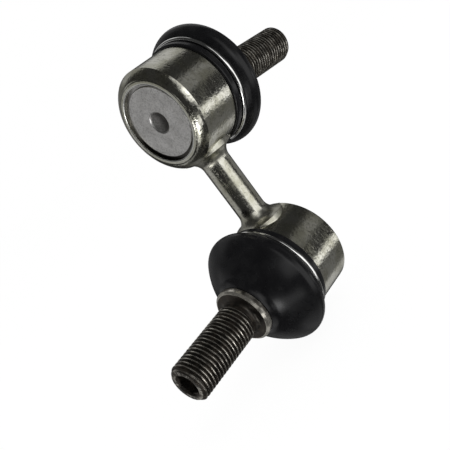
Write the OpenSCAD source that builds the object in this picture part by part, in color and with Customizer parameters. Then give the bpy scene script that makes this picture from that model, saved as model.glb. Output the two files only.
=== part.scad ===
// Stabilizer link: a short forged rod with a ball joint at each end.
// The rod runs along Z and the two studs point opposite ways along Y.
// The origin is halfway between the two rod ends. All sizes are in millimetres.

/* [Link body] */
// Distance between the two housing axes
link_length = 56.5; // [50:0.5:90]
// Diameter of the rod
rod_d = 9.1; // [7:0.1:11]
// Radius of the fillet that flares the rod into a housing
rod_fillet = 4; // [2.5:0.5:6]

/* [Ball housing] */
// Outside diameter of a housing
housing_d = 32; // [30:0.5:38]
// Wall between the outside and the seat bore
housing_wall = 4.4; // [3.6:0.1:5]
// From the rod axis back to the flat rim round the end plug
rim_back = 9.1; // [8.6:0.1:12]
// Length of the turned round at the plug end
edge_len = 2.2; // [1.2:0.1:3]
// Width of the turned round, measured across the radius
edge_width = 3.2; // [2.6:0.1:3.4]
// From the rod axis forward to the shoulder under the boot
shoulder_front = 6.9; // [6.2:0.1:8]
// From the shoulder forward to the open mouth
mouth_len = 4.2; // [3.9:0.1:6]
// How far the boot seat lies below the outside of the housing
boot_seat_step = 1.1; // [0.8:0.1:1.6]
// Depth of the groove that holds the boot's bead
bead_groove = 0.7; // [0.4:0.1:1]
// Smallest radial gap between the ball's own radius and the throat of the mouth
throat_step = 0.5; // [0.3:0.1:0.8]

/* [Ball stud] */
// Diameter of the ball
ball_d = 18; // [17:0.5:20]
// How far the ball centre lies ahead of the rod axis
ball_offset = 1; // [0.5:0.1:2]
// Diameter of the neck behind the ball
neck_d = 10.2; // [8:0.1:10.6]
// From the ball centre to the end of the plain neck
neck_len = 14; // [12:0.5:15]
// Diameter of the seat for the boot's small end
shank_d = 13.6; // [12.6:0.1:15]
// From the ball centre to the back of the collar
collar_back = 23.9; // [22.5:0.1:28]
// Diameter of the collar
collar_d = 17.8; // [16.6:0.1:22]
// Thickness of the collar
collar_t = 2.1; // [1.6:0.1:4]
// Nominal diameter of the stud thread
thread_d = 12; // [10:0.5:12.5]
// Length from the collar to the end of the stud
thread_len = 26.6; // [18:0.2:40]
// Bevel at the end of the thread
thread_bevel = 1; // [0.6:0.1:1.4]
// Width across the flats of the hexagon socket
socket_af = 6; // [5:0.5:7]
// Depth of the hexagon socket
socket_depth = 7; // [4:0.5:10]
// Lean of the upper stud towards the rod, in degrees
upper_lean = 4; // [0:1:8]
// Lean of the lower stud towards the rod, in degrees
lower_lean = 0; // [0:1:8]

/* [Seat and end plug] */
// Thickness of the end plug at its edge
plug_edge_t = 1.4; // [1:0.1:1.8]
// Depth of the plug below the flat rim, at its edge
plug_depth = 1.2; // [0.8:0.1:1.6]
// Height of the plug's raised centre
plug_raise = 0.4; // [0.2:0.1:0.6]
// Diameter of the dimple in the end plug
dimple_d = 7; // [4:0.5:9]
// Depth of the dimple in the end plug
dimple_depth = 1.1; // [0.4:0.1:1.2]
// Width of a grease slot in the ball seat
slot_w = 1.6; // [1:0.1:2.4]
// Number of grease slots in the ball seat
slot_count = 6; // [4:1:8]

/* [Dust boot] */
// How far the boot's lip stands out past the housing
lip_out = 0.7; // [0.5:0.1:1.2]
// How far the boot's bulge stands out past the housing
bulge_out = 3.5; // [2.8:0.1:4.2]
// From the shoulder to the widest part of the bulge
bulge_front = 7.2; // [6.8:0.1:7.8]
// Radius of the bulge's rounded rim, which runs into the dome over the ball
bulge_round = 3; // [2.4:0.1:3.4]
// Rubber thickness of the dome
boot_wall = 1.6; // [1.2:0.1:2]
// Rubber thickness round the neck ring
neck_wall = 1.1; // [0.8:0.1:1.5]
// Radius of the sweep from the dome into the neck
neck_sweep = 3.5; // [2.5:0.5:5]

/* [Boot rings] */
// Wire diameter of the ring that clamps the boot's lip
wire_d = 1.2; // [1:0.1:1.5]
// Radial thickness of the steel ring inside the boot's neck
neck_ring_t = 0.7; // [0.5:0.1:1]
// Length of the steel ring inside the boot's neck
neck_ring_len = 2; // [1.4:0.1:2.6]

/* [Fits] */
// Running clearance between the ball and its seat
ball_fit = 0.05; // [0.02:0.01:0.1]
// Clearance round pieces that sit still in a bore
seat_fit = 0.05; // [0.02:0.01:0.1]
// Clearance between the rubber and the steel it seals against
rubber_fit = 0.1; // [0.05:0.05:0.3]

/* [Hidden] */
$fn = 96;
// Overlap that lets one cut run cleanly through another
eps = 0.5;

// Housing, along its own axis from the rod axis towards the stud
housing_r = housing_d / 2;
bore_r = housing_r - housing_wall;
mouth_front = shoulder_front + mouth_len;
boot_seat_r = housing_r - boot_seat_step;
bead_land = 1.3;
groove_back = shoulder_front + bead_land;
groove_front = mouth_front - bead_land;
rim_r = housing_r - edge_width;
edge_bow = 25;
shoulder_bevel = 0.3;
mouth_bevel = 0.4;
lip_land = 0.8;
lip_r = rim_r - lip_land;

// Rod, measured from a housing axis, with the share of the fillet that stands clear of the housing
rod_root = housing_r - housing_wall / 2;
flare_angle = 60;
flare_end = 95;

// End plug, held between its shelf and the rolled lip
lip_overlap = 0.5;
plate_gap = 0.9;
plug_r = lip_r + lip_overlap;
plug_bore_r = plug_r + seat_fit;
plug_face = plug_depth - rim_back;
plug_shelf = plug_face + plug_edge_t;
plate_face = plug_face - plug_raise;
plate_r = lip_r - plate_gap;
plate_bevel = 0.2;
dimple_r = (pow(dimple_d / 2, 2) + pow(dimple_depth, 2)) / (2 * dimple_depth);

// Ball and seat, with the largest swing of the stud in any direction in degrees
swing_limit = 22.6;
ball_r = ball_d / 2;
seat_sphere_r = ball_r + ball_fit;
throat_r = ball_r - throat_step;
throat_angle = 45;
mouth_angle = 30;
throat_front = ball_offset + ball_r * sin(throat_angle);
cavity_front = ball_offset + ball_r * sin(10);
ball_gap = 0.2;
plug_reach = (ball_offset - plug_shelf - ball_gap) / ball_r;
ball_flat = -ball_r * cos(acos(min(1, plug_reach)) + swing_limit);
seat_open_h = ball_r * sin(30);
seat_open_r = sqrt(pow(seat_sphere_r, 2) - pow(seat_open_h, 2));
seat_lip = 1;
seat_top_h = seat_open_h + seat_lip;
seat_relief = tan(mouth_angle);
slot_top = 1.5;
cavity_slope = (bore_r - throat_r) / (throat_front - cavity_front);
mouth_r = throat_r + tan(mouth_angle) * (mouth_front - throat_front);

// Stud, along its own axis from the ball centre
neck_r = neck_d / 2;
shank_r = shank_d / 2;
collar_r = collar_d / 2;
collar_bevel = 0.2;
collar_face = collar_back + collar_t;
thread_r = thread_d / 2;
thread_relief = 0.6;
relief_r = thread_r - thread_relief;
root_fillet = 1;
root_r = relief_r + root_fillet;
thread_start = collar_face + root_fillet + thread_relief;
stud_end = collar_face + thread_len;
shank_cone = 3;
shank_start = neck_len + shank_cone;
socket_r = socket_af / 2 / cos(30);
countersink = 0.35;
countersink_h = 0.55;
socket_mouth_r = socket_r + countersink;

// Boot rings
wire_r = wire_d / 2;
wire_set_back = 1.1;
wire_stand_out = 0.85;
wire_front = mouth_front - wire_set_back;
wire_ring_r = housing_r + wire_stand_out;
wire_gap_angle = 6;
neck_ring_r = shank_r + rubber_fit;
neck_ring_set_back = 0.9;
neck_ring_front = collar_back - neck_ring_set_back;
neck_ring_back = neck_ring_front - neck_ring_len;

// Boot, skirt along the housing axis and neck along the stud axis
lip_out_r = housing_r + lip_out;
bulge_r = housing_r + bulge_out;
bulge_mid = shoulder_front + bulge_front;
skirt_back = shoulder_front + seat_fit;
wire_groove_r = wire_ring_r - wire_r - rubber_fit / 2;
wire_groove_w = wire_d + 3 * rubber_fit;
groove_flank = 0.5;
lip_round = 0.5;
lip_back_angle = 80;
bulge_back_angle = 50;
bulge_rim = [bulge_r - bulge_round, bulge_mid];
bead_r = boot_seat_r - bead_groove + rubber_fit;
boot_neck_r = neck_ring_r + neck_ring_t + neck_wall;
boot_top = collar_back - 2 * rubber_fit;
dome_r = norm(bulge_rim - [0, ball_offset]) + bulge_round;
dome_angle = atan2(bulge_mid - ball_offset, bulge_rim[0]);
sweep_sink = 0.05;
sweep_r = boot_neck_r + neck_sweep;
sweep_mid = sqrt(pow(dome_r + neck_sweep, 2) - pow(sweep_r, 2)) - sweep_sink;
sweep_angle = atan2(sweep_mid, sweep_r);
sweep_cut = asin(min(1, max(0, (sweep_mid - boot_top) / neck_sweep)));

// Points of an arc, from angle a to angle b about a centre in the half plane
function arc(c, r, a, b, steps = 12) =
    [for (i = [0 : steps]) c + r * [cos(a + (b - a) * i / steps), sin(a + (b - a) * i / steps)]];

// Place a joint's pieces: local Z runs from the housing out along the stud
module at_upper() { translate([0, 0, link_length / 2]) rotate([-90, 0, 0]) children(); }
module at_lower() { rotate([180, 0, 0]) at_upper() children(); }

// Turn pieces with the stud about the ball centre, with local Z starting at the ball centre
module on_stud(lean) { translate([0, 0, ball_offset]) rotate([-lean, 0, 0]) children(); }

// Outside of one housing, turned round the housing axis
module housing_outside() {
    slope = atan2(-edge_width, edge_len);
    edge_r = norm([edge_width, edge_len]) / (2 * sin(edge_bow));
    edge_mid = [rim_r + edge_width / 2, edge_len / 2 - rim_back];
    edge_centre = edge_mid - edge_r * cos(edge_bow) * [cos(slope), sin(slope)];
    rotate_extrude() polygon(concat(
        [[0, -rim_back]],
        arc(edge_centre, edge_r, slope - edge_bow, slope + edge_bow, 8),
        [[housing_r, shoulder_front - shoulder_bevel],
         [housing_r - shoulder_bevel, shoulder_front],
         [boot_seat_r, shoulder_front],
         [boot_seat_r, groove_back],
         [boot_seat_r - bead_groove, groove_back],
         [boot_seat_r - bead_groove, groove_front],
         [boot_seat_r, groove_front],
         [boot_seat_r, mouth_front - mouth_bevel],
         [boot_seat_r - mouth_bevel, mouth_front],
         [0, mouth_front]]
    ));
}

// Inside of one housing: plug recess, seat bore, cone over the seat, throat and flared mouth
module housing_inside() {
    rotate_extrude() polygon([
        [0, -rim_back - eps],
        [lip_r, -rim_back - eps],
        [lip_r, plug_face],
        [plug_bore_r, plug_face],
        [plug_bore_r, plug_shelf],
        [bore_r, plug_shelf],
        [bore_r, cavity_front],
        [throat_r, throat_front],
        [mouth_r, mouth_front],
        [mouth_r, mouth_front + eps],
        [0, mouth_front + eps]
    ]);
}

// Half of the rod with its flare, from the middle of the link up into the upper housing
module rod_half() {
    rod_r = rod_d / 2;
    root_z = link_length / 2 - rod_root;
    flare_z = link_length / 2 - housing_r - rod_fillet * sin(flare_angle);
    flare = arc([rod_r + rod_fillet, flare_z], rod_fillet, 180, flare_end);
    rotate_extrude() polygon(concat(
        [[0, -eps], [rod_r, -eps]],
        flare,
        [[flare[len(flare) - 1][0], root_z], [0, root_z]]
    ));
}

// Band of the housing that the flare may cover, between the turned round and the boot's shoulder
module flare_band() {
    band = rim_back - edge_len + shoulder_front - shoulder_bevel;
    translate([-housing_r, -housing_r, edge_len - rim_back])
        cube([housing_d, housing_r + link_length / 2 + 2 * eps, band]);
}

// Rod from the middle of the link to the upper housing, trimmed where the housing is turned
module upper_rod() {
    intersection() {
        rod_half();
        at_upper() flare_band();
    }
}

module link_body() {
    color("silver") difference() {
        union() {
            at_upper() housing_outside();
            at_lower() housing_outside();
            upper_rod();
            rotate([180, 0, 0]) upper_rod();
        }
        at_upper() housing_inside();
        at_lower() housing_inside();
    }
}

// Ball, neck, collar and threaded shank in one piece, with a hexagon socket in the end
module ball_stud() {
    difference() {
        union() {
            sphere(r = ball_r);
            rotate_extrude() polygon(concat(
                [[0, 0], [neck_r, 0], [neck_r, neck_len], [shank_r, shank_start], [shank_r, collar_back],
                 [collar_r - collar_bevel, collar_back], [collar_r, collar_back + collar_bevel],
                 [collar_r, collar_face - collar_bevel], [collar_r - collar_bevel, collar_face]],
                arc([root_r, collar_face + root_fillet], root_fillet, 270, 180, 6),
                [[thread_r, thread_start], [thread_r, stud_end - thread_bevel],
                 [thread_r - thread_bevel, stud_end], [0, stud_end]]
            ));
        }
        translate([0, 0, ball_flat - ball_r]) cylinder(r = ball_r, h = ball_r);
        translate([0, 0, stud_end - socket_depth]) cylinder(r = socket_r, h = socket_depth + eps, $fn = 6);
        translate([0, 0, stud_end - countersink_h])
            cylinder(r1 = socket_mouth_r - countersink_h, r2 = socket_mouth_r + eps, h = countersink_h + eps);
    }
}

// Plastic cup round the ball, open at both ends, with grease slots from the plug side
module ball_seat() {
    top = ball_offset + seat_top_h;
    base = plug_shelf + seat_fit;
    outer_r = bore_r - seat_fit;
    top_r = outer_r - cavity_slope * (top - cavity_front);
    difference() {
        rotate_extrude() polygon([
            [0, base],
            [outer_r, base],
            [outer_r, cavity_front - seat_fit],
            [top_r, top],
            [seat_open_r + seat_relief * seat_lip, top],
            [seat_open_r, top - seat_lip],
            [0, top - seat_lip]
        ]);
        translate([0, 0, ball_offset]) sphere(r = seat_sphere_r);
        for (i = [0 : slot_count - 1])
            rotate([0, 0, i * 360 / slot_count])
                translate([0, -slot_w / 2, base - eps])
                    cube([housing_r, slot_w, ball_offset - slot_top - base + eps]);
    }
}

// Steel plate that closes the housing, with a raised face and a centre dimple
module end_plug() {
    difference() {
        rotate_extrude() polygon([
            [0, plate_face],
            [plate_r - plate_bevel, plate_face],
            [plate_r, plate_face + plate_bevel],
            [plate_r, plug_face],
            [plug_r, plug_face],
            [plug_r, plug_shelf],
            [0, plug_shelf]
        ]);
        translate([0, 0, plate_face + dimple_depth - dimple_r]) sphere(r = dimple_r);
    }
}

// Outside of the boot's skirt: lip, wire groove and bulge, closed by the dome
module skirt_outside() {
    wire_back = wire_front - wire_groove_w / 2;
    wire_fwd = wire_front + wire_groove_w / 2;
    rotate_extrude() polygon(concat(
        [[0, skirt_back], [housing_r + seat_fit, skirt_back]],
        arc([lip_out_r - lip_round, skirt_back + lip_round], lip_round, -lip_back_angle, 0, 6),
        [[lip_out_r, wire_back - groove_flank], [wire_groove_r + groove_flank, wire_back],
         [wire_groove_r, wire_back], [wire_groove_r, wire_fwd], [wire_groove_r + groove_flank, wire_fwd]],
        arc(bulge_rim, bulge_round, -bulge_back_angle, dome_angle, 16),
        arc([0, ball_offset], dome_r, dome_angle, sweep_angle, 12),
        [[0, ball_offset + dome_r * sin(sweep_angle)]]
    ));
}

// Inside of the boot's skirt: bead on the housing, then the grease space under the dome
module skirt_inside() {
    inner_r = dome_r - boot_wall;
    space_r = bulge_r - 2 * boot_wall;
    space_angle = acos(space_r / inner_r);
    seat_r = boot_seat_r + rubber_fit;
    rotate_extrude() polygon(concat(
        [[0, skirt_back - eps], [seat_r, skirt_back - eps],
         [seat_r, groove_back + rubber_fit], [bead_r, groove_back + rubber_fit],
         [bead_r, groove_front - rubber_fit], [seat_r, groove_front - rubber_fit],
         [seat_r, mouth_front + eps], [space_r, bulge_mid]],
        arc([0, ball_offset], inner_r, space_angle, 90, 16)
    ));
}

// Boot neck outside, sweeping out of the dome to the small end under the collar
module boot_neck_outside() {
    sweep = arc([sweep_r, sweep_mid], neck_sweep, 180 + sweep_angle, 180 + sweep_cut);
    rotate_extrude() polygon(concat(
        [[0, sweep[0][1] - eps], [sweep[0][0], sweep[0][1] - eps]],
        sweep,
        [[sweep[len(sweep) - 1][0], boot_top], [0, boot_top]]
    ));
}

// Boot neck inside: a bore that seals on the shank, with a recess for the steel ring
module boot_neck_inside() {
    seal_r = shank_r + rubber_fit;
    recess_r = neck_ring_r + neck_ring_t + rubber_fit / 2;
    seal_land = 0.6;
    funnel = 1.2;
    rotate_extrude() polygon([
        [0, shank_start - eps],
        [shank_r + funnel, shank_start - eps],
        [seal_r, neck_ring_back - seal_land],
        [seal_r, neck_ring_back - rubber_fit / 2],
        [recess_r, neck_ring_back - rubber_fit / 2],
        [recess_r, neck_ring_front + rubber_fit / 2],
        [seal_r, neck_ring_front + rubber_fit / 2],
        [seal_r, boot_top + eps],
        [0, boot_top + eps]
    ]);
}

// Rubber boot: the skirt stays on the housing, the neck follows the stud
module dust_boot(lean) {
    color("#1c1c1e") difference() {
        union() {
            skirt_outside();
            on_stud(lean) boot_neck_outside();
        }
        skirt_inside();
        on_stud(lean) boot_neck_inside();
    }
}

// Open wire ring that clamps the boot's lip onto the housing
module clamp_ring() {
    rotate([0, 0, 90 + wire_gap_angle / 2]) rotate_extrude(angle = 360 - wire_gap_angle)
        translate([wire_ring_r, wire_front]) circle(r = wire_r, $fn = 32);
}

// Steel ring inside the boot's neck that grips the stud
module neck_ring() {
    translate([0, 0, neck_ring_back]) difference() {
        cylinder(r = neck_ring_r + neck_ring_t, h = neck_ring_len);
        translate([0, 0, -eps]) cylinder(r = neck_ring_r, h = neck_ring_len + 2 * eps);
    }
}

module upper_ball_stud() { color("#2b2a28") at_upper() on_stud(upper_lean) ball_stud(); }
module upper_ball_seat() { color("ivory") at_upper() ball_seat(); }
module upper_end_plug() { color("#8d8f90") at_upper() end_plug(); }
module upper_dust_boot() { at_upper() dust_boot(upper_lean); }
module upper_clamp_ring() { color("gainsboro") at_upper() clamp_ring(); }
module upper_neck_ring() { color("gray") at_upper() on_stud(upper_lean) neck_ring(); }

module lower_ball_stud() { color("#2b2a28") at_lower() on_stud(lower_lean) ball_stud(); }
module lower_ball_seat() { color("ivory") at_lower() ball_seat(); }
module lower_end_plug() { color("#8d8f90") at_lower() end_plug(); }
module lower_dust_boot() { at_lower() dust_boot(lower_lean); }
module lower_clamp_ring() { color("gainsboro") at_lower() clamp_ring(); }
module lower_neck_ring() { color("gray") at_lower() on_stud(lower_lean) neck_ring(); }

link_body();
upper_ball_stud();
upper_ball_seat();
upper_end_plug();
upper_dust_boot();
upper_clamp_ring();
upper_neck_ring();
lower_ball_stud();
lower_ball_seat();
lower_end_plug();
lower_dust_boot();
lower_clamp_ring();
lower_neck_ring();
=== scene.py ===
import math

import bmesh
import bpy
from mathutils import Matrix, Vector
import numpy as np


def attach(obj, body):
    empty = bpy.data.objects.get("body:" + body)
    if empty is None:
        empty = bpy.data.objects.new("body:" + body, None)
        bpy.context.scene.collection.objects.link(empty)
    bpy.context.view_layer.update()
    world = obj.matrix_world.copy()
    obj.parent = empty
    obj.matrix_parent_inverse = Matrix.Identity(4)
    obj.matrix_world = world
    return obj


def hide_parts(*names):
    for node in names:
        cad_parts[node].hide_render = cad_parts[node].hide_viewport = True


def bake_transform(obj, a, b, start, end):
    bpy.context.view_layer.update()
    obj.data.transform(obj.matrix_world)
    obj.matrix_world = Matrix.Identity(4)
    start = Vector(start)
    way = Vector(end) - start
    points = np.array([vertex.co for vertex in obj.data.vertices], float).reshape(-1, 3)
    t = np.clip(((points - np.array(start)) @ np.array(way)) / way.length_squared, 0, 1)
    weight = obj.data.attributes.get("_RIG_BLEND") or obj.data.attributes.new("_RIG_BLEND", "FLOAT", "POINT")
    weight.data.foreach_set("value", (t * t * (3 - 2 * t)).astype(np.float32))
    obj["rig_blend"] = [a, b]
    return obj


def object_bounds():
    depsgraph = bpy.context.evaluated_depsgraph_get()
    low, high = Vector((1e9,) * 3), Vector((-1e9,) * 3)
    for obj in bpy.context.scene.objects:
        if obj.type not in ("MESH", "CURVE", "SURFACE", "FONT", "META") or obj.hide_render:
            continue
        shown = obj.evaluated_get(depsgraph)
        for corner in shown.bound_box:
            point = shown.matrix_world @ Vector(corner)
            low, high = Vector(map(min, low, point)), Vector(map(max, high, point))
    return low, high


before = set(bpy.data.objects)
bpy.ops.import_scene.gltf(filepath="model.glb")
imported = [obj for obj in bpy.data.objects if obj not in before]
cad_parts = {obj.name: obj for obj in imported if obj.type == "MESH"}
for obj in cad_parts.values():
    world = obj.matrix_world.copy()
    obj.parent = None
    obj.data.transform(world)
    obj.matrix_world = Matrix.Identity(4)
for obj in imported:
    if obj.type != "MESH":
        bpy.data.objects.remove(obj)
cad_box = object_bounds()

# Link body: a forged steel rod with a cup at each end, turned round after forging.
# Clear zinc plating covers it all, a little yellow where it is thick and bright where it has rubbed.
# Every other piece is pressed into it, rolled into it or clamped round it.

MM = 0.001
SIDES = ("upper", "lower")
LINK_HALF = 28.25 * MM
CUP_R = 16 * MM
LIP_INNER_R = 12 * MM
LIP_EDGE = 0.3 * MM
RIM_BACK = 9.1 * MM
# Where marks and painted groove shade on the plating begin and end
RIM_FADE = (0.05 * MM, 0.2 * MM)
BORE_FADE = (0.02 * MM, 0.06 * MM)
GROOVE_FADE = (0.5 * MM, 1 * MM)
SHADE_FADE = 3 * MM
SHADE_LEAST = 0.3
ROD_REACH = 13.5 * MM
ROD_FADE = 2 * MM
FILLET_RISE = (CUP_R, CUP_R + 0.5 * MM)
FILLET_FALL = (CUP_R + 2.5 * MM, CUP_R + 4.5 * MM)
# Colours and finish of the plating
ZINC_LIGHT = (0.68, 0.67, 0.60, 1)
ZINC_OLIVE = (0.46, 0.45, 0.36, 1)
ZINC_WORN = (0.84, 0.84, 0.80, 1)
ZINC_PIT = (0.20, 0.19, 0.16, 1)
# Painted shade for the groove behind the rolled lip
GROOVE_SHADE_PAINT = (0.03, 0.028, 0.025, 1)
LATHE_TINT = 0.3
PIT_TINT = 0.5
ZINC_ROUGH = (0.12, 0.24)
FILLET_ROUGH = 0.16
LATHE_RELIEF = 0.7
FORGE_RELIEF = 1.5
LIP_RELIEF = 20.0
ZINC_BUMP = 0.5
BUMP_DEPTH = 0.02 * MM
# How meshes are joined and shaded
SMOOTH_ANGLE = math.radians(28)
MERGE_DISTANCE = 1e-6


def add_node(tree, kind, values=None, **settings):
    """A node of a tree, with its settings and the values of its open sockets."""
    node = tree.nodes.new(kind)
    for name, value in settings.items():
        setattr(node, name, value)
    for name, value in (values or {}).items():
        node.inputs[name].default_value = value
    return node


def feed(tree, socket, value):
    """A socket fed by another socket, or set to a plain value."""
    if isinstance(value, bpy.types.NodeSocket):
        tree.links.new(value, socket)
    else:
        socket.default_value = value


def math_node(tree, operation, *values):
    """The result of one operation on sockets or plain numbers."""
    node = add_node(tree, "ShaderNodeMath", operation=operation)
    for socket, value in zip(node.inputs, values):
        feed(tree, socket, value)
    return node.outputs[0]


def product(tree, first, second):
    """Two sockets or plain numbers multiplied."""
    return math_node(tree, "MULTIPLY", first, second)


def soft_step(tree, value, low, high, bottom=0.0, top=1.0):
    """A value eased from bottom to top as it goes from low to high."""
    node = add_node(tree, "ShaderNodeMapRange", interpolation_type="SMOOTHSTEP")
    names = ("Value", "From Min", "From Max", "To Min", "To Max")
    for name, number in zip(names, (value, low, high, bottom, top)):
        feed(tree, node.inputs[name], number)
    return node.outputs["Result"]


def mix_colour(tree, factor, first, second):
    """Two colours or colour sockets mixed by a mask."""
    node = add_node(tree, "ShaderNodeMix", data_type="RGBA")
    sockets = {socket.identifier: socket for socket in (*node.inputs, *node.outputs)}
    for name, value in (("Factor_Float", factor), ("A_Color", first), ("B_Color", second)):
        feed(tree, sockets[name], value)
    return sockets["Result_Color"]


def shader_group(name, inputs, outputs):
    """An empty shader group of number sockets, with the sockets that lead in and those that lead out."""
    tree = bpy.data.node_groups.new(name, "ShaderNodeTree")
    for label, value in inputs.items():
        kind = "NodeSocketVector" if isinstance(value, tuple) else "NodeSocketFloat"
        socket = tree.interface.new_socket(label, in_out="INPUT", socket_type=kind)
        socket.default_value = value
    for label in outputs:
        tree.interface.new_socket(label, in_out="OUTPUT", socket_type="NodeSocketFloat")
    return tree, tree.nodes.new("NodeGroupInput").outputs, tree.nodes.new("NodeGroupOutput").inputs


def use_group(tree, group, **values):
    """The outputs of a shader group placed in a tree with its own values."""
    node = add_node(tree, "ShaderNodeGroup", node_tree=group)
    for label, value in values.items():
        feed(tree, node.inputs[label], value)
    return node.outputs


# Grain: a mask of fine marks at a chosen scale, stretched along the axes of the piece
grain, grain_in, grain_out = shader_group(
    "grain", {"Stretch": (1, 1, 1), "Scale": 1000.0, "Detail": 3.0, "Low": 0.35, "High": 0.65}, ["Mask"])
grain_place = add_node(grain, "ShaderNodeTexCoord")
grain_stretch = add_node(grain, "ShaderNodeVectorMath", operation="MULTIPLY")
feed(grain, grain_stretch.inputs[0], grain_place.outputs["Object"])
feed(grain, grain_stretch.inputs[1], grain_in["Stretch"])
grain_noise = add_node(grain, "ShaderNodeTexNoise", {"Roughness": 0.6})
feed(grain, grain_noise.inputs["Vector"], grain_stretch.outputs[0])
feed(grain, grain_noise.inputs["Scale"], grain_in["Scale"])
feed(grain, grain_noise.inputs["Detail"], grain_in["Detail"])
feed(
    grain, grain_out["Mask"],
    soft_step(grain, grain_noise.outputs["Fac"], grain_in["Low"], grain_in["High"]))


def grain_mask(tree, **values):
    """A mask of fine marks in a material or in another group."""
    return use_group(tree, grain, **values)["Mask"]


# Cup place: how far a point lies from the nearer cup's axis and along it, and how much painted groove shade
# falls there, most on the side towards the rod
cup_place, _, cup_place_out = shader_group("cup_place", {}, ["Radius", "Along", "Height", "Painted Shade"])
cup_coords = add_node(cup_place, "ShaderNodeTexCoord")
cup_xyz = add_node(cup_place, "ShaderNodeSeparateXYZ")
feed(cup_place, cup_xyz.inputs[0], cup_coords.outputs["Object"])
cup_x, cup_y, cup_z = cup_xyz.outputs
cup_height = math_node(cup_place, "ABSOLUTE", cup_z)
cup_rise = math_node(cup_place, "SUBTRACT", cup_height, LINK_HALF)
cup_square = math_node(
    cup_place, "ADD", product(cup_place, cup_x, cup_x), product(cup_place, cup_rise, cup_rise))
feed(cup_place, cup_place_out["Radius"], math_node(cup_place, "SQRT", cup_square))
feed(cup_place, cup_place_out["Along"], product(cup_place, cup_y, math_node(cup_place, "SIGN", cup_z)))
feed(cup_place, cup_place_out["Height"], cup_height)
feed(
    cup_place, cup_place_out["Painted Shade"],
    soft_step(cup_place, cup_height, LINK_HALF - SHADE_FADE, LINK_HALF + SHADE_FADE, 1.0, SHADE_LEAST))


def new_material(name):
    """A new material with its node tree and its Principled shader."""
    material = bpy.data.materials.new(name)
    material.use_nodes = True
    tree = material.node_tree
    return material, tree, tree.nodes["Principled BSDF"]


def set_shader(tree, shader, values):
    """Sockets or plain values on a shader's sockets, by name."""
    for name, value in values.items():
        feed(tree, shader.inputs[name], value)


def set_bump(tree, shader, height, strength, distance):
    """A bump from a height mask on a shader's Normal."""
    bump = add_node(tree, "ShaderNodeBump", {"Strength": strength, "Distance": distance})
    feed(tree, bump.inputs["Height"], height)
    feed(tree, shader.inputs["Normal"], bump.outputs["Normal"])


zinc, zinc_tree, zinc_shader = new_material("zinc_plated_steel")
zinc_where = use_group(zinc_tree, cup_place)
zinc_cloud = grain_mask(zinc_tree, Scale=170.0, Detail=4.0, Low=0.36, High=0.66)
zinc_lathe = grain_mask(zinc_tree, Stretch=(0.5, 3.2, 0.5), Scale=700.0, Detail=4.0, Low=0.36, High=0.66)
zinc_pits = grain_mask(zinc_tree, Scale=1200.0, Detail=2.0, Low=0.56, High=0.7)
zinc_forge = grain_mask(zinc_tree, Scale=1100.0, Detail=1.0, Low=0.3, High=0.7)
zinc_on_cup = soft_step(zinc_tree, zinc_where["Height"], ROD_REACH - ROD_FADE, ROD_REACH)
zinc_past_lip = math_node(zinc_tree, "SUBTRACT", zinc_where["Radius"], LIP_INNER_R)
zinc_behind = math_node(zinc_tree, "ADD", zinc_where["Along"], RIM_BACK)
zinc_at_rim = soft_step(zinc_tree, zinc_behind, *RIM_FADE, 1.0, 0.0)
zinc_lip = product(zinc_tree, soft_step(zinc_tree, zinc_past_lip, 0.0, LIP_EDGE), zinc_at_rim)
zinc_lip_worn = product(
    zinc_tree, soft_step(zinc_tree, zinc_past_lip, LIP_EDGE, 1.5 * LIP_EDGE, 1.0, 0.0), zinc_at_rim)
# Painted shade on the recess wall behind the rolled lip, most on the side towards the rod
zinc_groove_shade = product(zinc_tree, soft_step(zinc_tree, zinc_behind, *GROOVE_FADE), zinc_where["Painted Shade"])
zinc_painted_shade = product(zinc_tree, soft_step(zinc_tree, zinc_past_lip, *BORE_FADE, 1.0, 0.0), zinc_groove_shade)
zinc_colour = mix_colour(zinc_tree, zinc_cloud, ZINC_LIGHT, ZINC_OLIVE)
zinc_colour = mix_colour(zinc_tree, product(zinc_tree, zinc_lathe, LATHE_TINT), zinc_colour, ZINC_OLIVE)
zinc_colour = mix_colour(zinc_tree, product(zinc_tree, zinc_pits, PIT_TINT), zinc_colour, ZINC_PIT)
zinc_colour = mix_colour(zinc_tree, zinc_lip_worn, zinc_colour, ZINC_WORN)
zinc_colour = mix_colour(zinc_tree, zinc_painted_shade, zinc_colour, GROOVE_SHADE_PAINT)
zinc_fillet = product(
    zinc_tree, soft_step(zinc_tree, zinc_where["Radius"], *FILLET_RISE),
    soft_step(zinc_tree, zinc_where["Radius"], *FILLET_FALL, 1.0, 0.0))
zinc_marks = math_node(
    zinc_tree, "ADD", product(zinc_tree, zinc_cloud, 0.5), product(zinc_tree, zinc_lathe, 0.5))
zinc_rough = math_node(
    zinc_tree, "MULTIPLY_ADD", zinc_fillet, FILLET_ROUGH,
    soft_step(zinc_tree, zinc_marks, 0.0, 1.0, *ZINC_ROUGH))
zinc_turned = product(zinc_tree, zinc_lathe, product(zinc_tree, zinc_on_cup, LATHE_RELIEF))
zinc_skin = math_node(zinc_tree, "ADD", zinc_turned, product(zinc_tree, zinc_forge, FORGE_RELIEF))
zinc_relief = math_node(
    zinc_tree, "MULTIPLY_ADD", zinc_lip, LIP_RELIEF, math_node(zinc_tree, "SUBTRACT", zinc_skin, zinc_pits))
set_shader(zinc_tree, zinc_shader, {"Base Color": zinc_colour, "Metallic": 1.0, "Roughness": zinc_rough})
set_bump(zinc_tree, zinc_shader, zinc_relief, ZINC_BUMP, BUMP_DEPTH)


def add_object(name, data):
    """An object of the scene that holds a mesh, a lamp or a camera."""
    thing = bpy.data.objects.new(name, data)
    bpy.context.scene.collection.objects.link(thing)
    return thing


def shade_rounds(mesh, angle):
    """Rounds shaded smooth, with edges sharper than an angle left crisp."""
    mesh.shade_smooth()
    mesh.set_sharp_from_angle(angle=angle)


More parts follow.
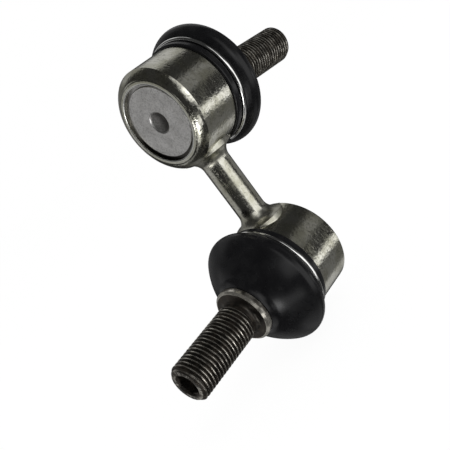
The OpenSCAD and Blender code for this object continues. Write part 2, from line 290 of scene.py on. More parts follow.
def smooth_copy(name, node):
    """A copy of a solid's mesh with its triangles joined and its rounds shaded smooth."""
    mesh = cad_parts[node].data.copy()
    mesh.name = name
    mesh.attributes.remove(mesh.attributes["custom_normal"])
    joined = bmesh.new()
    joined.from_mesh(mesh)
    bmesh.ops.remove_doubles(joined, verts=joined.verts, dist=MERGE_DISTANCE)
    joined.to_mesh(mesh)
    joined.free()
    shade_rounds(mesh, SMOOTH_ANGLE)
    return add_object(name, mesh)


link_piece = smooth_copy("forged_link", "link_body")
link_piece.data.materials.clear()
link_piece.data.materials.append(zinc)
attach(link_piece, "link")
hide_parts("link_body")

# Ball seats: moulded cups of pale bearing plastic that grip each ball.
# They are pressed in from the plug side and stay hidden once the cup is closed.

SEAT_PALE = (0.82, 0.79, 0.70, 1)
SEAT_TAN = (0.76, 0.72, 0.62, 1)
SEAT_ROUGH = (0.38, 0.5)

seat, seat_tree, seat_shader = new_material("bearing_plastic")
seat_mottle = grain_mask(seat_tree, Scale=400.0, Detail=2.0, Low=0.3, High=0.7)
set_shader(seat_tree, seat_shader, {
    "Base Color": mix_colour(seat_tree, seat_mottle, SEAT_PALE, SEAT_TAN),
    "Roughness": soft_step(seat_tree, seat_mottle, 0.0, 1.0, *SEAT_ROUGH)})
for side in SIDES:
    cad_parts[f"{side}_ball_seat"].material_slots[0].material = seat

# Ball studs: one steel forging each, with a ground ball, a collar and a rolled M12 x 1.25 thread.
# Dark phosphate covers them; the collar's edge and the thread's crests have rubbed bright.
# A hexagon socket in the end takes the key that holds the stud while its nut is turned.

BALL_OFFSET = 1 * MM
UPPER_LEAN = math.radians(4)
COLUMNS = 96
# Sizes of a stud, with lengths along it from the centre of the ball
BALL_R = 9 * MM
BALL_FLAT = -4.716 * MM
NECK_R = 5.1 * MM
NECK_END = 14 * MM
SHANK_R = 6.8 * MM
SHANK_START = 17 * MM
COLLAR_BACK = 23.9 * MM
COLLAR_FACE = 26 * MM
COLLAR_R = 8.9 * MM
COLLAR_BEVEL = 0.2 * MM
COLLAR_CHAMFER = 0.6 * MM
ROOT_FILLET = 1 * MM
THREAD_R = 6 * MM
THREAD_RELIEF = 0.6 * MM
PLAIN_R = THREAD_R - THREAD_RELIEF
THREAD_START = COLLAR_FACE + ROOT_FILLET + THREAD_RELIEF
THREAD_LEN = 26.598 * MM
STUD_END = COLLAR_FACE + THREAD_LEN
TIP_BEVEL = 1 * MM
PITCH = 1.25 * MM
THREAD_DEPTH = 0.5413 * PITCH
# Ends of the thread's flank from the middle of the crest, as shares of the pitch
CREST_SHARE = 1 / 16
ROOT_SHARE = 6 / 16
# Rows of faces in a turn, and turns that are cut off at the ends
ROWS_PER_TURN = 16
SPARE_TURNS = 2
# Hexagon socket
SOCKET_FLATS = 6 * MM
SOCKET_DEPTH = 7 * MM
SOCKET_MOUTH_R = 3.81 * MM
COUNTERSINK = 0.55 * MM
DRILL_TIP_R = 0.4 * MM
DRILL_TIP = 1.4 * MM
# Colours and finish of the coating
PHOSPHATE = (0.040, 0.037, 0.033, 1)
PHOSPHATE_BROWN = (0.085, 0.072, 0.058, 1)
PHOSPHATE_WORN = (0.66, 0.63, 0.56, 1)
PHOSPHATE_METAL = 0.85
PHOSPHATE_ROUGH = (0.36, 0.5)
PHOSPHATE_BUMP = 0.12
RUB_POLISH = 0.24
RUB_SPREAD = 0.4
RUB_LEAST = 0.7
# Wear marks of a stud's edges, where 1 and more is rubbed bright
BACK_WEAR = 0.9
RIM_WEAR = 1.0
CHAMFER_WEAR = (1.5, 1.6)
FACE_WEAR = 0.6
ROOT_WEAR = 0.58
TIP_WEAR = 0.9
MOUTH_WEAR = 0.8
SINK_WEAR = 0.2
RIM_BAND = 0.1 * MM
FACE_BAND = 0.2 * MM

UPPER_FRAME = (
    Matrix.Translation((0, 0, LINK_HALF)) @ Matrix.Rotation(math.radians(-90), 4, "X")
    @ Matrix.Translation((0, 0, BALL_OFFSET)))
JOINT_FRAMES = {"upper": UPPER_FRAME, "lower": Matrix.Rotation(math.pi, 4, "X") @ UPPER_FRAME}
LEANS = {"upper": UPPER_LEAN, "lower": 0.0}


def arc_points(centre, radius, start, end, steps):
    """Points of an arc in the plane of radius and length, angles in degrees from the radius."""
    turns = [math.radians(start + (end - start) * i / steps) for i in range(steps + 1)]
    return [(centre[0] + radius * math.cos(t), centre[1] + radius * math.sin(t)) for t in turns]


def ring_points(ring):
    """The points of one ring; its radius and length are numbers, or one of each per column."""
    radius, along = ring
    for i in range(COLUMNS):
        turn = 2 * math.pi * i / COLUMNS
        r = radius[i] if isinstance(radius, list) else radius
        a = along[i] if isinstance(along, list) else along
        yield r * math.cos(turn), r * math.sin(turn), a


def ring_faces(count, closed=False):
    """Four-sided faces between rings that follow each other."""
    last = count if closed else count - 1
    for row in range(last):
        a, b = row * COLUMNS, (row + 1) % count * COLUMNS
        for i in range(COLUMNS):
            j = (i + 1) % COLUMNS
            yield a + i, a + j, b + j, b + i


# Thread tree: a sheet wound into a tube whose rows follow the helix, cut off flat at both ends
thread_tree = bpy.data.node_groups.new("rolled_thread", "GeometryNodeTree")
THREAD_SOCKETS = {
    "Geometry": ["Geometry"],
    "Float": ["Pitch", "Crest Radius", "Depth", "Plain Radius", "Start", "End", "Bevel"],
    "Int": ["Turns", "Columns", "Rows"],
    "Material": ["Material"]}
for thread_kind, thread_labels in THREAD_SOCKETS.items():
    for thread_label in thread_labels:
        thread_tree.interface.new_socket(
            thread_label, in_out="INPUT", socket_type=f"NodeSocket{thread_kind}")
thread_tree.interface.new_socket("Geometry", in_out="OUTPUT", socket_type="NodeSocketGeometry")
thread_in = thread_tree.nodes.new("NodeGroupInput").outputs
thread_out = thread_tree.nodes.new("NodeGroupOutput").inputs
sheet = add_node(thread_tree, "GeometryNodeMeshGrid", {"Size X": 1.0, "Size Y": 1.0})
feed(thread_tree, sheet.inputs["Vertices X"], math_node(thread_tree, "ADD", thread_in["Columns"], 1.0))
feed(
    thread_tree, sheet.inputs["Vertices Y"],
    math_node(thread_tree, "MULTIPLY_ADD", thread_in["Turns"], thread_in["Rows"], 1.0))
sheet_place = add_node(thread_tree, "GeometryNodeInputPosition")
sheet_xyz = add_node(thread_tree, "ShaderNodeSeparateXYZ")
feed(thread_tree, sheet_xyz.inputs[0], sheet_place.outputs[0])
round_share = math_node(thread_tree, "ADD", sheet_xyz.outputs["X"], 0.5)
turn_count = product(
    thread_tree, math_node(thread_tree, "ADD", sheet_xyz.outputs["Y"], 0.5), thread_in["Turns"])
travel = math_node(thread_tree, "SUBTRACT", math_node(thread_tree, "ADD", turn_count, round_share), 1.0)
helix_along = math_node(thread_tree, "MULTIPLY_ADD", travel, thread_in["Pitch"], thread_in["Start"])
thread_along = math_node(
    thread_tree, "MINIMUM", thread_in["End"],
    math_node(thread_tree, "MAXIMUM", thread_in["Start"], helix_along))
off_crest = math_node(
    thread_tree, "ABSOLUTE",
    math_node(thread_tree, "SUBTRACT", math_node(thread_tree, "FRACT", turn_count), 0.5))
flank_range = add_node(thread_tree, "ShaderNodeMapRange", {"From Min": CREST_SHARE, "From Max": ROOT_SHARE})
feed(thread_tree, flank_range.inputs["Value"], off_crest)
flank = flank_range.outputs[0]
full_radius = math_node(
    thread_tree, "SUBTRACT", thread_in["Crest Radius"], product(thread_tree, thread_in["Depth"], flank))
run_out = soft_step(
    thread_tree, thread_along, thread_in["Start"],
    math_node(thread_tree, "ADD", thread_in["Start"], thread_in["Pitch"]))
plain_share = math_node(thread_tree, "SUBTRACT", 1.0, run_out)
rolled_radius = math_node(
    thread_tree, "ADD", product(thread_tree, full_radius, run_out),
    product(thread_tree, thread_in["Plain Radius"], plain_share))
tip_radius = math_node(
    thread_tree, "ADD", math_node(thread_tree, "SUBTRACT", thread_in["Crest Radius"], thread_in["Bevel"]),
    math_node(thread_tree, "SUBTRACT", thread_in["End"], thread_along))
cut_radius = math_node(thread_tree, "MINIMUM", rolled_radius, tip_radius)
thread_turn = product(thread_tree, round_share, 2 * math.pi)
thread_point = add_node(thread_tree, "ShaderNodeCombineXYZ")
feed(
    thread_tree, thread_point.inputs["X"],
    product(thread_tree, cut_radius, math_node(thread_tree, "COSINE", thread_turn)))
feed(
    thread_tree, thread_point.inputs["Y"],
    product(thread_tree, cut_radius, math_node(thread_tree, "SINE", thread_turn)))
feed(thread_tree, thread_point.inputs["Z"], thread_along)
wear_mark = add_node(thread_tree, "GeometryNodeStoreNamedAttribute", {"Name": "wear"}, data_type="FLOAT")
feed(thread_tree, wear_mark.inputs["Geometry"], sheet.outputs["Mesh"])
feed(
    thread_tree, wear_mark.inputs["Value"],
    product(thread_tree, math_node(thread_tree, "SUBTRACT", 1.0, flank), run_out))
wound = add_node(thread_tree, "GeometryNodeSetPosition")
feed(thread_tree, wound.inputs["Geometry"], wear_mark.outputs[0])
feed(thread_tree, wound.inputs["Position"], thread_point.outputs[0])
closed_tube = add_node(thread_tree, "GeometryNodeMergeByDistance", {"Distance": MERGE_DISTANCE})
feed(thread_tree, closed_tube.inputs["Geometry"], wound.outputs[0])
real_tube = add_node(thread_tree, "GeometryNodeRealizeInstances")
feed(thread_tree, real_tube.inputs["Geometry"], closed_tube.outputs[0])
thread_finish = add_node(thread_tree, "GeometryNodeSetMaterial")
feed(thread_tree, thread_finish.inputs["Geometry"], real_tube.outputs[0])
feed(thread_tree, thread_finish.inputs["Material"], thread_in["Material"])
feed(thread_tree, thread_out["Geometry"], thread_finish.outputs[0])

# Rubbed: a wear mark on the mesh broken up by grain, so that bright edges look scuffed
rubbed, rubbed_in, rubbed_out = shader_group("rubbed", {"Scale": 900.0, "Low": 0.5, "High": 1.1}, ["Mask"])
rubbed_mark = add_node(rubbed, "ShaderNodeAttribute", attribute_name="wear")
rubbed_grain = grain_mask(rubbed, Scale=rubbed_in["Scale"], Detail=1.0, Low=0.3, High=0.7)
rubbed_patchy = product(
    rubbed, rubbed_mark.outputs["Fac"],
    math_node(rubbed, "MULTIPLY_ADD", rubbed_grain, RUB_SPREAD, RUB_LEAST))
feed(rubbed, rubbed_out["Mask"], soft_step(rubbed, rubbed_patchy, rubbed_in["Low"], rubbed_in["High"]))

phosphate, phosphate_tree, phosphate_shader = new_material("dark_phosphate_steel")
phosphate_cloud = grain_mask(phosphate_tree, Scale=500.0, Detail=4.0, Low=0.35, High=0.7)
phosphate_rub = use_group(phosphate_tree, rubbed, Scale=450.0, Low=0.55, High=1.15)["Mask"]
phosphate_coat = mix_colour(phosphate_tree, phosphate_cloud, PHOSPHATE, PHOSPHATE_BROWN)
set_shader(phosphate_tree, phosphate_shader, {
    "Base Color": mix_colour(phosphate_tree, phosphate_rub, phosphate_coat, PHOSPHATE_WORN),
    "Metallic": PHOSPHATE_METAL,
    "Roughness": math_node(
        phosphate_tree, "SUBTRACT", soft_step(phosphate_tree, phosphate_cloud, 0.0, 1.0, *PHOSPHATE_ROUGH),
        product(phosphate_tree, phosphate_rub, RUB_POLISH))})
set_bump(phosphate_tree, phosphate_shader, phosphate_cloud, PHOSPHATE_BUMP, BUMP_DEPTH)


def thread_mesh():
    """The threaded length of a stud as a plain mesh."""
    holder = add_object("thread_blank", bpy.data.meshes.new("thread_blank"))
    modifier = holder.modifiers.new("rolled_thread", "NODES")
    modifier.node_group = thread_tree
    values = {
        "Pitch": PITCH, "Crest Radius": THREAD_R, "Depth": THREAD_DEPTH, "Plain Radius": PLAIN_R,
        "Start": THREAD_START, "End": STUD_END, "Bevel": TIP_BEVEL, "Columns": COLUMNS,
        "Rows": ROWS_PER_TURN, "Turns": math.ceil((STUD_END - THREAD_START) / PITCH) + SPARE_TURNS,
        "Material": phosphate}
    for item in thread_tree.interface.items_tree:
        if item.in_out == "INPUT" and item.name in values:
            modifier[item.identifier] = values[item.name]
    graph = bpy.context.evaluated_depsgraph_get()
    mesh = bpy.data.meshes.new_from_object(holder.evaluated_get(graph))
    bpy.data.objects.remove(holder)
    return mesh


def shaft_rings():
    """Rings of a stud from the ball to the start of the thread, with a wear mark each."""
    ball_start = math.degrees(math.asin(BALL_FLAT / BALL_R))
    ball_end = math.degrees(math.acos(NECK_R / BALL_R))
    back_centre = (COLLAR_R - COLLAR_BEVEL, COLLAR_BACK + COLLAR_BEVEL)
    root_centre = (PLAIN_R + ROOT_FILLET, COLLAR_FACE + ROOT_FILLET)
    front = COLLAR_FACE - COLLAR_CHAMFER
    front_r = COLLAR_R - COLLAR_CHAMFER
    rings = [(p, 0.0) for p in arc_points((0, 0), BALL_R, ball_start, ball_end, 24)]
    rings += [(p, 0.0) for p in ((NECK_R, NECK_END), (SHANK_R, SHANK_START), (SHANK_R, COLLAR_BACK))]
    rings += [(p, BACK_WEAR) for p in arc_points(back_centre, COLLAR_BEVEL, -90, 0, 4)]
    rings += [((COLLAR_R, front - RIM_BAND), RIM_WEAR)]
    rings += zip([(COLLAR_R, front), (front_r, COLLAR_FACE)], CHAMFER_WEAR)
    rings += [((front_r - FACE_BAND, COLLAR_FACE), FACE_WEAR)]
    rings += [(p, ROOT_WEAR) for p in arc_points(root_centre, ROOT_FILLET, 270, 180, 6)]
    return rings + [((PLAIN_R, THREAD_START), 0.0)]


def tip_rings():
    """Rings of a stud's end from the thread's bevel down into the hexagon socket, with a wear mark each."""
    wall, depth = [], []
    for i in range(COLUMNS):
        sixth = math.radians(360 * i / COLUMNS % 60 - 30)
        wall.append(SOCKET_FLATS / 2 / math.cos(sixth))
        depth.append(STUD_END - min(COUNTERSINK, SOCKET_MOUTH_R - wall[-1]))
    sink = [max(w, SOCKET_MOUTH_R - COUNTERSINK) for w in wall]
    floor_along = STUD_END - SOCKET_DEPTH
    return [
        ((THREAD_R - TIP_BEVEL, STUD_END), TIP_WEAR), ((SOCKET_MOUTH_R, STUD_END), MOUTH_WEAR),
        ((sink, depth), SINK_WEAR), ((wall, depth), 0.0), ((wall, floor_along), 0.0),
        ((DRILL_TIP_R, floor_along - DRILL_TIP), 0.0)]


def make_stud(side, helix):
    """One stud: its rings and the threaded tube joined into a single closed piece."""
    shell = bmesh.new()
    shell.from_mesh(helix)
    wear = shell.verts.layers.float["wear"]
    for rings in (shaft_rings(), tip_rings()):
        made = []
        for ring, mark in rings:
            for point in ring_points(ring):
                vertex = shell.verts.new(point)
                vertex[wear] = mark
                made.append(vertex)
        for corners in ring_faces(len(rings)):
            shell.faces.new([made[i] for i in corners])
    bmesh.ops.remove_doubles(shell, verts=shell.verts, dist=2 * MERGE_DISTANCE)
    bmesh.ops.holes_fill(shell, edges=shell.edges, sides=COLUMNS + 1)
    bmesh.ops.recalc_face_normals(shell, faces=shell.faces)
    shell.transform(JOINT_FRAMES[side] @ Matrix.Rotation(-LEANS[side], 4, "X"))
    mesh = bpy.data.meshes.new(f"{side}_threaded_stud")
    shell.to_mesh(mesh)
    shell.free()
    shade_rounds(mesh, SMOOTH_ANGLE)
    mesh.materials.append(phosphate)
    piece = add_object(f"{side}_threaded_stud", mesh)
    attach(piece, f"{side}_stud")
    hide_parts(f"{side}_ball_stud")


helix_mesh = thread_mesh()
for side in SIDES:
    make_stud(side, helix_mesh)

# End plugs: stamped steel plates that close the cups behind the ball seats.
# A rolled lip of the cup holds each one; the punch left a dimple in its middle.
# Painted shade darkens the dimple, most on its +X side, and the groove round the plate, most towards the
# rod.

PLATE_R = 11.1 * MM
PLATE_FADE = (PLATE_R - 0.12 * MM, PLATE_R + 0.02 * MM)
DIMPLE_R = 3.5 * MM
DIMPLE_FADE = (0.8 * DIMPLE_R, DIMPLE_R)
# Painted shade in the dimple: its share from the -X side to the +X side
DIMPLE_SIDES = (-0.5 * DIMPLE_R, 0.4 * DIMPLE_R)
DIMPLE_SHADE_PAINT = (0.6, 0.97)
DIMPLE_ROUGH = 0.3
PLUG_LIGHT = (0.74, 0.73, 0.715, 1)
PLUG_DARK = (0.60, 0.59, 0.575, 1)
# Dark of the grit specks and of the painted shade in the dimple and the groove
PLUG_GRIT_AND_SHADE = (0.09, 0.085, 0.08, 1)
PLUG_ROUGH = (0.34, 0.46)
PLUG_BUMP = 0.3
GRIT_TINT = 0.3

plug, plug_tree, plug_shader = new_material("stamped_plug_steel")
plug_where = use_group(plug_tree, cup_place)
plug_cloud = grain_mask(plug_tree, Scale=260.0, Detail=4.0, Low=0.3, High=0.7)
plug_grit = grain_mask(plug_tree, Scale=2600.0, Detail=2.0, Low=0.4, High=0.7)
plug_coords = add_node(plug_tree, "ShaderNodeTexCoord")
plug_xyz = add_node(plug_tree, "ShaderNodeSeparateXYZ")
feed(plug_tree, plug_xyz.inputs[0], plug_coords.outputs["Object"])
plug_punched = soft_step(plug_tree, plug_where["Radius"], *DIMPLE_FADE, 1.0, 0.0)
# Painted shade in the dimple, darkest on its +X side
plug_dimple_shade = product(
    plug_tree, plug_punched, soft_step(plug_tree, plug_xyz.outputs["X"], *DIMPLE_SIDES, *DIMPLE_SHADE_PAINT))
# Painted shade in the groove round the plate, most towards the rod
plug_groove_shade = product(
    plug_tree, soft_step(plug_tree, plug_where["Radius"], *PLATE_FADE), plug_where["Painted Shade"])
plug_colour = mix_colour(plug_tree, plug_cloud, PLUG_LIGHT, PLUG_DARK)
# Dark grit specks, then the painted shade of the dimple and of the groove
for plug_mask in (product(plug_tree, plug_grit, GRIT_TINT), plug_dimple_shade, plug_groove_shade):
    plug_colour = mix_colour(plug_tree, plug_mask, plug_colour, PLUG_GRIT_AND_SHADE)
plug_rough = math_node(
    plug_tree, "MULTIPLY_ADD", plug_punched, DIMPLE_ROUGH,
    soft_step(plug_tree, plug_grit, 0.0, 1.0, *PLUG_ROUGH))
set_shader(plug_tree, plug_shader, {"Base Color": plug_colour, "Metallic": 1.0, "Roughness": plug_rough})
set_bump(plug_tree, plug_shader, plug_grit, PLUG_BUMP, BUMP_DEPTH)
for side in SIDES:
    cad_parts[f"{side}_end_plug"].material_slots[0].material = plug

# Dust boots: moulded black rubber, a lip on the cup, a rounded bulge and a dome about the ball.
# The skirt stays on the cup and the neck follows the stud, so the dome rolls between them.
# Each boot is made in two pieces that meet on one ring of the dome.

# Sizes of a boot, with lengths along it from the centre of the ball and angles in degrees
LIP_BACK = 5.95 * MM
LIP_R = 16.7 * MM
LIP_ROUND = 0.5 * MM
LIP_TURN = 80
GROOVE_MID = 9 * MM
GROOVE_W = 1.5 * MM
GROOVE_R = 16.2 * MM
GROOVE_STEP = 0.05 * MM
GROOVE_FLANK = 0.5 * MM
GROOVE_FLANK_TURN = (250, 300)
BULGE_R = 19.49 * MM
BULGE_ROUND = 3 * MM
BULGE_MID = 13.1 * MM
BULGE_START = -50
BOOT_WALL = 1.6 * MM
DOME_WALL = 0.6 * MM
BOOT_NECK_R = 8.7 * MM
NECK_SWEEP = 3.5 * MM
NECK_INNER_END = 70
BOOT_TOP = 23.69 * MM
BOOT_SEAT_R = 15 * MM
BOOT_SEAT_FRONT = 10.5 * MM
BORE_R = 6.9 * MM
BORE_BACK = 22.2 * MM
# Where the two pieces meet and where each one bends
MEET_ANGLE = 52
BEND_CLEAR = 0.25 * MM
NECK_BEND_END = 21.5 * MM
SKIRT_BEND_SHARE = 0.5
NECK_BEND_SHARE = 1.0
# Colours and finish of the rubber
RUBBER = (0.007, 0.007, 0.008, 1)
RUBBER_GREY = (0.013, 0.013, 0.014, 1)
RUBBER_ROUGH = (0.22, 0.30)
RUBBER_GLOSS = 0.28
RUBBER_BUMP = 0.15
RUBBER_BUMP_DEPTH = 0.01 * MM
RUBBER_SMOOTH_ANGLE = math.radians(50)

BULGE_CENTRE = (BULGE_R - BULGE_ROUND, BULGE_MID)
DOME_R = math.hypot(*BULGE_CENTRE) + BULGE_ROUND
DOME_ANGLE = math.degrees(math.atan2(BULGE_CENTRE[1], BULGE_CENTRE[0]))
INNER_R = DOME_R - DOME_WALL
DOME_START = DOME_R * math.sin(math.radians(DOME_ANGLE))
MEET_ALONG = DOME_R * math.sin(math.radians(MEET_ANGLE))

rubber, rubber_tree, rubber_shader = new_material("moulded_rubber")
rubber_cloud = grain_mask(rubber_tree, Scale=220.0, Detail=4.0, Low=0.3, High=0.75)
rubber_skin = grain_mask(rubber_tree, Scale=3000.0, Detail=2.0, Low=0.3, High=0.7)
set_shader(rubber_tree, rubber_shader, {
    "Base Color": mix_colour(rubber_tree, rubber_cloud, RUBBER, RUBBER_GREY),
    "Roughness": soft_step(rubber_tree, rubber_cloud, 0.0, 1.0, *RUBBER_ROUGH),
    "Specular IOR Level": RUBBER_GLOSS})
set_bump(rubber_tree, rubber_shader, rubber_skin, RUBBER_BUMP, RUBBER_BUMP_DEPTH)


def skirt_outline():
    """Closed outline of a boot from its lip to the ring of the dome where the neck piece begins."""
    back, front = GROOVE_MID - GROOVE_W / 2, GROOVE_MID + GROOVE_W / 2
    flank_centre = (GROOVE_R + GROOVE_FLANK, front + GROOVE_FLANK)
    space_r = BULGE_R - 2 * BOOT_WALL
    space_angle = math.degrees(math.acos(space_r / INNER_R))
    points = [(CUP_R, LIP_BACK)]
    points += arc_points((LIP_R - LIP_ROUND, LIP_BACK + LIP_ROUND), LIP_ROUND, -LIP_TURN, 0, 6)
    points += arc_points((LIP_R - LIP_ROUND, back - LIP_ROUND), LIP_ROUND, 0, LIP_TURN, 6)
    points += [(GROOVE_R, back + GROOVE_STEP), (GROOVE_R, front)]
    points += arc_points(flank_centre, GROOVE_FLANK, *GROOVE_FLANK_TURN, 3)
    points += arc_points(BULGE_CENTRE, BULGE_ROUND, BULGE_START, DOME_ANGLE, 24)
    points += arc_points((0, 0), DOME_R, DOME_ANGLE, MEET_ANGLE, 10)[1:]
    points += arc_points((0, 0), INNER_R, MEET_ANGLE, space_angle, 6)
    return points + [(space_r, BULGE_MID), (BOOT_SEAT_R, BOOT_SEAT_FRONT), (BOOT_SEAT_R, LIP_BACK)]


def neck_outline():
    """Closed outline of a boot from that ring of the dome through the sweep to the small end."""
    sweep_r = BOOT_NECK_R + NECK_SWEEP
    sweep_mid = math.sqrt((DOME_R + NECK_SWEEP) ** 2 - sweep_r ** 2)
    tangent = math.degrees(math.atan2(sweep_mid, sweep_r))
    cut = math.degrees(math.asin((sweep_mid - BOOT_TOP) / NECK_SWEEP))
    points = arc_points((0, 0), DOME_R, MEET_ANGLE, tangent, 16)
    points += arc_points((sweep_r, sweep_mid), NECK_SWEEP, 180 + tangent, 180 + cut, 12)[1:]
    points += [(BORE_R, BOOT_TOP), (BORE_R, BORE_BACK)]
    return points + arc_points((0, 0), INNER_R, NECK_INNER_END, MEET_ANGLE, 8)


def eased_share(along):
    """How much of the lean a point of the dome takes, from none at the bulge to all at the neck piece."""
    share = min(1.0, max(0.0, (along - DOME_START) / (MEET_ALONG - DOME_START)))
    return share * share * (3 - 2 * share)


def make_boot_piece(name, side, outline, shares, bodies, bend, bend_share):
    """One closed rubber ring of a boot, bent between the two bodies it joins."""
    points = []
    for (radius, along), share in zip(outline, shares):
        turn = Matrix.Rotation(-LEANS[side] * share, 4, "X")
        points += [JOINT_FRAMES[side] @ turn @ Vector(p) for p in ring_points((radius, along))]
    mesh = bpy.data.meshes.new(name)
    mesh.from_pydata(points, [], list(ring_faces(len(outline), closed=True)))
    shell = bmesh.new()
    shell.from_mesh(mesh)
    bmesh.ops.recalc_face_normals(shell, faces=shell.faces)
    shell.to_mesh(mesh)
    shell.free()
    shade_rounds(mesh, RUBBER_SMOOTH_ANGLE)
    mesh.materials.append(rubber)
    piece = add_object(name, mesh)
    bend_turn = Matrix.Rotation(-LEANS[side] * bend_share, 4, "X")
    start, end = (JOINT_FRAMES[side] @ bend_turn @ Vector((0, 0, along)) for along in bend)
    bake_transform(piece, *bodies, start=start, end=end)
    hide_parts(f"{side}_dust_boot")


for side in SIDES:
    skirt, neck = skirt_outline(), neck_outline()
    make_boot_piece(
        f"{side}_boot_skirt", side, skirt, [eased_share(along) for _, along in skirt],
        ("link", f"{side}_boot"), (DOME_START, MEET_ALONG - BEND_CLEAR), SKIRT_BEND_SHARE)
    make_boot_piece(
        f"{side}_boot_neck", side, neck, [1.0] * len(neck),
        (f"{side}_boot", f"{side}_neck"), (MEET_ALONG + BEND_CLEAR, NECK_BEND_END), NECK_BEND_SHARE)

# Clamp rings: open rings of bright spring wire in a groove of each boot, which hold its lip on the cup.
# Neck rings: small steel rings inside each boot's neck that grip the stud, out of sight.

WIRE_BRIGHT = (0.93, 0.93, 0.91, 1)
WIRE_DULL = (0.84, 0.84, 0.82, 1)
WIRE_ROUGH = (0.07, 0.14)

wire, wire_tree, wire_shader = new_material("bright_spring_wire")
wire_grain = grain_mask(wire_tree, Stretch=(1, 0.4, 1), Scale=1200.0, Detail=3.0, Low=0.3, High=0.75)
set_shader(wire_tree, wire_shader, {
    "Base Color": mix_colour(wire_tree, wire_grain, WIRE_BRIGHT, WIRE_DULL),
    "Metallic": 1.0,
    "Roughness": soft_step(wire_tree, wire_grain, 0.0, 1.0, *WIRE_ROUGH)})
for side in SIDES:
    for ring in ("clamp_ring", "neck_ring"):
        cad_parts[f"{side}_{ring}"].material_slots[0].material = wire

# Floor: a pale sheet just under the link, part of the studio and not of the link.
# The camera sees it white, with the link's faint shadow on it.

FLOOR_R = 3.0
FLOOR_DROP = 0.5 * MM
FLOOR_SIDES = 96
PAPER = (0.8, 0.8, 0.8, 1)
PAPER_GLOW = 1.06
PAPER_GLOW_SHARE = 0.9

floor_mesh = bpy.data.meshes.new("pale_floor")
floor_disc = bmesh.new()
bmesh.ops.create_circle(floor_disc, cap_ends=True, radius=FLOOR_R, segments=FLOOR_SIDES)
floor_disc.transform(Matrix.Translation((0, 0, cad_box[0].z - FLOOR_DROP)))
floor_disc.to_mesh(floor_mesh)
floor_disc.free()
floor = add_object("pale_floor", floor_mesh)
floor.visible_glossy = False
floor.visible_shadow = False

paper, paper_tree, paper_shader = new_material("white_paper")
paper_tree.nodes.remove(paper_shader)
paper_diffuse = add_node(paper_tree, "ShaderNodeBsdfDiffuse", {"Color": PAPER})
paper_white = add_node(paper_tree, "ShaderNodeEmission", {"Color": (1, 1, 1, 1), "Strength": PAPER_GLOW})
paper_path = add_node(paper_tree, "ShaderNodeLightPath")
paper_seen = add_node(paper_tree, "ShaderNodeMixShader")
feed(
    paper_tree, paper_seen.inputs[0],
    product(paper_tree, paper_path.outputs["Is Camera Ray"], PAPER_GLOW_SHARE))
feed(paper_tree, paper_seen.inputs[1], paper_diffuse.outputs[0])
feed(paper_tree, paper_seen.inputs[2], paper_white.outputs[0])
feed(paper_tree, paper_tree.nodes["Material Output"].inputs["Surface"], paper_seen.outputs[0])
floor_mesh.materials.append(paper)

# Studio: a white room with soft panels round the link and one large lamp above it.
# The camera sees plain white; bright metal sees the panels and the dark between them.

ROOM_DARK = 0.03
ROOM_FILL = 0.55
LAMP_SIZE = (0.5, 0.35)
LAMP_POWER = 0.8
LAMP_PLACE = Vector((0.38, 0.1, 0.55))

# Each panel: azimuth, elevation, half width, half height and soft edge in degrees, then brightness
PANELS = (
    (2, -14, 20, 17, 16, 1.25),
    (49, -24, 9, 3, 6, 1.25),
    (78, -12, 20, 5, 8, 0.18),
    (120, 42, 18, 12, 12, 0.5),
    (114, -48, 18, 5, 6, 0.45),
    (-140, -8, 21, 20, 8, 0.36),
    (-92, -28, 6, 4, 4, 4.8),
    (-80, -32, 32, 5, 4, 1.1),
    (-38, 9, 12, 9, 9, 1.0),
    (-26, 28, 9, 14, 10, 0.8),
    (50, 21, 8, 6, 10, 0.2),
    (75, -44, 20, 8, 10, 0.12),
    (168, 50, 25, 14, 12, 0.32),
    (178, 12, 20, 16, 10, 0.13),
    (165, -52, 25, 12, 10, 0.13),
    (0, -84, 180, 12, 8, 0.4),
)

softbox, softbox_in, softbox_out = shader_group(
    "softbox", {"Azimuth": 0.0, "Elevation": 0.0, "Width": 30.0, "Height": 20.0, "Soft": 8.0}, ["Mask"])
room_way = add_node(softbox, "ShaderNodeTexCoord")
room_xyz = add_node(softbox, "ShaderNodeSeparateXYZ")
feed(softbox, room_xyz.inputs[0], room_way.outputs["Generated"])
room_x, room_y, room_z = room_xyz.outputs
room_turn = product(softbox, math_node(softbox, "ARCTAN2", room_y, room_x), 180 / math.pi)
room_rise = product(softbox, math_node(softbox, "ARCSINE", room_z), 180 / math.pi)
room_aside = math_node(softbox, "SUBTRACT", room_turn, softbox_in["Azimuth"])
room_above = math_node(softbox, "SUBTRACT", room_rise, softbox_in["Elevation"])
room_off = math_node(softbox, "ABSOLUTE", math_node(softbox, "WRAP", room_aside, 180.0, -180.0))
room_lift = math_node(softbox, "ABSOLUTE", room_above)
room_masks = []
for room_way_off, room_half in ((room_off, "Width"), (room_lift, "Height")):
    room_edge = math_node(softbox, "ADD", softbox_in[room_half], softbox_in["Soft"])
    room_masks.append(soft_step(softbox, room_way_off, softbox_in[room_half], room_edge, 1.0, 0.0))
feed(softbox, softbox_out["Mask"], product(softbox, *room_masks))

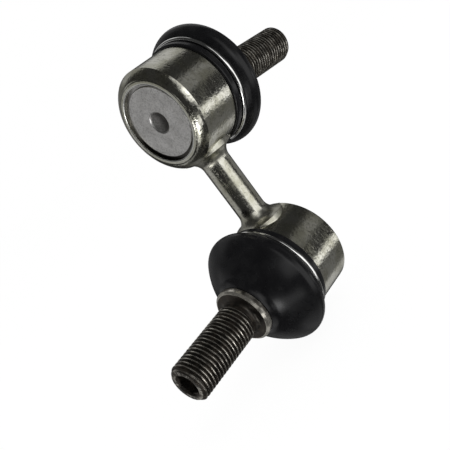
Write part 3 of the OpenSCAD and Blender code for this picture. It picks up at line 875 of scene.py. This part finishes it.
room = bpy.data.worlds.new("white_room")
bpy.context.scene.world = room
room.use_nodes = True
room_tree = room.node_tree
room_tree.nodes.clear()
room_ray = add_node(room_tree, "ShaderNodeLightPath").outputs
panel_sum = ROOM_DARK
for azimuth, elevation, width, height, soft, level in PANELS:
    panel = use_group(
        room_tree, softbox, Azimuth=azimuth, Elevation=elevation, Width=width, Height=height, Soft=soft)
    panel_sum = math_node(room_tree, "MULTIPLY_ADD", panel["Mask"], level, panel_sum)
panel_seen = product(room_tree, room_ray["Is Glossy Ray"], panel_sum)
white_seen = math_node(room_tree, "MAXIMUM", room_ray["Is Camera Ray"], room_ray["Is Transmission Ray"])
direct_seen = math_node(room_tree, "MAXIMUM", white_seen, room_ray["Is Glossy Ray"])
fill_seen = product(room_tree, math_node(room_tree, "SUBTRACT", 1.0, direct_seen), ROOM_FILL)
room_light = add_node(room_tree, "ShaderNodeBackground", {"Color": (1, 1, 1, 1)})
feed(
    room_tree, room_light.inputs["Strength"],
    math_node(room_tree, "ADD", math_node(room_tree, "ADD", white_seen, panel_seen), fill_seen))
room_out = add_node(room_tree, "ShaderNodeOutputWorld")
feed(room_tree, room_out.inputs["Surface"], room_light.outputs[0])

lamp_data = bpy.data.lights.new("large_softbox", "AREA")
lamp_data.shape = "RECTANGLE"
lamp_data.size, lamp_data.size_y = LAMP_SIZE
lamp_data.energy = LAMP_POWER
lamp = add_object("large_softbox", lamp_data)
lamp.location = LAMP_PLACE
lamp.rotation_mode = "QUATERNION"
lamp.rotation_quaternion = (-LAMP_PLACE).to_track_quat("-Z", "Y")
lamp.visible_camera = False
lamp.visible_glossy = False

# Camera: the photograph's place, turn and lens, fitted to the cups, the rod and the thread.
# The three directions are those of the picture's right, its top and the way back to the camera.

FRAME_PIXELS = 450
FOCAL_PIXELS = 622.64
SENSOR = 36.0
CLIP_START = 0.005
CLIP_END = 20.0
CAMERA_PLACE = Vector((0.138849, -0.120549, 0.034476))
CAMERA_RIGHT = Vector((0.59841, 0.54297, -0.58914))
CAMERA_UP = Vector((0.23209, 0.58632, 0.77612))
CAMERA_BACK = Vector((0.76683, -0.60117, 0.22484))

camera_data = bpy.data.cameras.new("photo_camera")
camera_data.sensor_width = SENSOR
camera_data.lens = FOCAL_PIXELS / FRAME_PIXELS * SENSOR
camera_data.clip_start = CLIP_START
camera_data.clip_end = CLIP_END
camera = add_object("photo_camera", camera_data)
camera_turn = Matrix((CAMERA_RIGHT, CAMERA_UP, CAMERA_BACK)).transposed()
camera.matrix_world = Matrix.Translation(CAMERA_PLACE) @ camera_turn.to_4x4()
bpy.context.scene.camera = camera
bpy.context.scene.view_settings.view_transform = "Standard"
